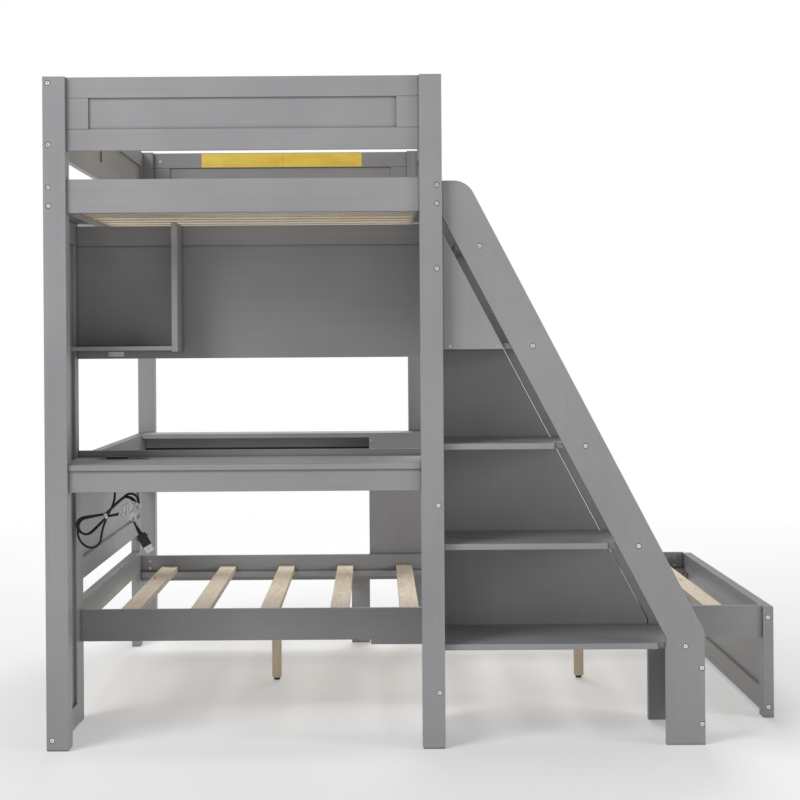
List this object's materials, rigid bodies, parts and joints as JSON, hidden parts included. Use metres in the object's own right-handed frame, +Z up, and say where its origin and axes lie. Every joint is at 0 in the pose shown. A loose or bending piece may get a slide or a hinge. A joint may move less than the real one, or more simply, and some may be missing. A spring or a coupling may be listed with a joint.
{
  "type": "loft bed with desk",
  "caption": "Painted wooden loft bed over a crosswise lower bed, with a desk, hutch, slanted shelf ladder, guard rails and bare slats.",
  "frame": {"origin": "on the floor, under the middle of the whole object's box", "axes": "+Z up from the floor; +Y from the desk's front towards the back posts; +X from the desk towards the ladder and the footboard"},
  "size_m": [2.022, 2.03, 1.8],
  "materials": {
    "paint": "satin grey paint",
    "pine": "bare planed pine",
    "label": "plain yellow film",
    "unit_plastic": "black moulded plastic",
    "cord_black": "black cord sheath",
    "tie_white": "white tie",
    "tag_film": "crumpled clear film",
    "cap_clear": "clear soft plastic cover",
    "prong_metal": "nickel-plated",
    "cap_black": "black moulded plastic",
    "strip_black": "black plastic",
    "bolt_steel": "zinc-plated",
    "nut_zinc": "zinc-plated",
    "screw_steel": "zinc-plated",
    "bracket_steel": "zinc-plated"
  },
  "bodies": {
    "root": {"back_cheeks": "paint", "back_face_board": "paint", "back_foot": "paint", "back_guard": "paint", "back_left_post": "paint", "back_right_post": "paint", "back_shelf_back": "paint", "back_shelf_floor": "paint", "back_shelf_top": "paint", "back_trim_strip": "strip_black", "barrel_nuts": "nut_zinc", "centre_legs": "pine", "connector_bolts": "bolt_steel", "cord_drop": "cord_black", "cord_hank": "cord_black", "cord_relief": "cord_black", "cord_tag": "tag_film", "cord_tail": "cord_black", "cord_tie": "tie_white", "cubby_divider": "paint", "cubby_floor": "paint", "desk_apron": "paint", "desk_cleats": "paint", "desk_top": "paint", "footboard": "paint", "front_guard": "paint", "front_left_post": "paint", "front_right_post": "paint", "front_stringer": "paint", "guard_labels": "label", "headboard": "paint", "hutch_back": "paint", "hutch_bracket": "bracket_steel", "ladder_foot_board": "paint", "left_guard": "paint", "left_side_panel": "paint", "leg_caps": "cap_black", "lower_back_rail": "paint", "lower_cleats": "paint", "lower_front_rail": "paint", "lower_slats": "pine", "plug_body": "cord_black", "plug_cap": "cap_clear", "plug_prongs": "prong_metal", "power_unit": "unit_plastic", "rail_ledger": "paint", "rear_stringer": "paint", "right_guard": "paint", "right_side_panel": "paint", "step_shelves": "paint", "top_tread": "paint", "tower_front_panel": "paint", "tower_rear_panel": "paint", "upper_back_rail": "paint", "upper_cleats": "paint", "upper_front_rail": "paint", "upper_left_rail": "paint", "upper_right_rail": "paint", "upper_slats": "pine", "wood_screws": "screw_steel"}
  },
  "joints": []
}
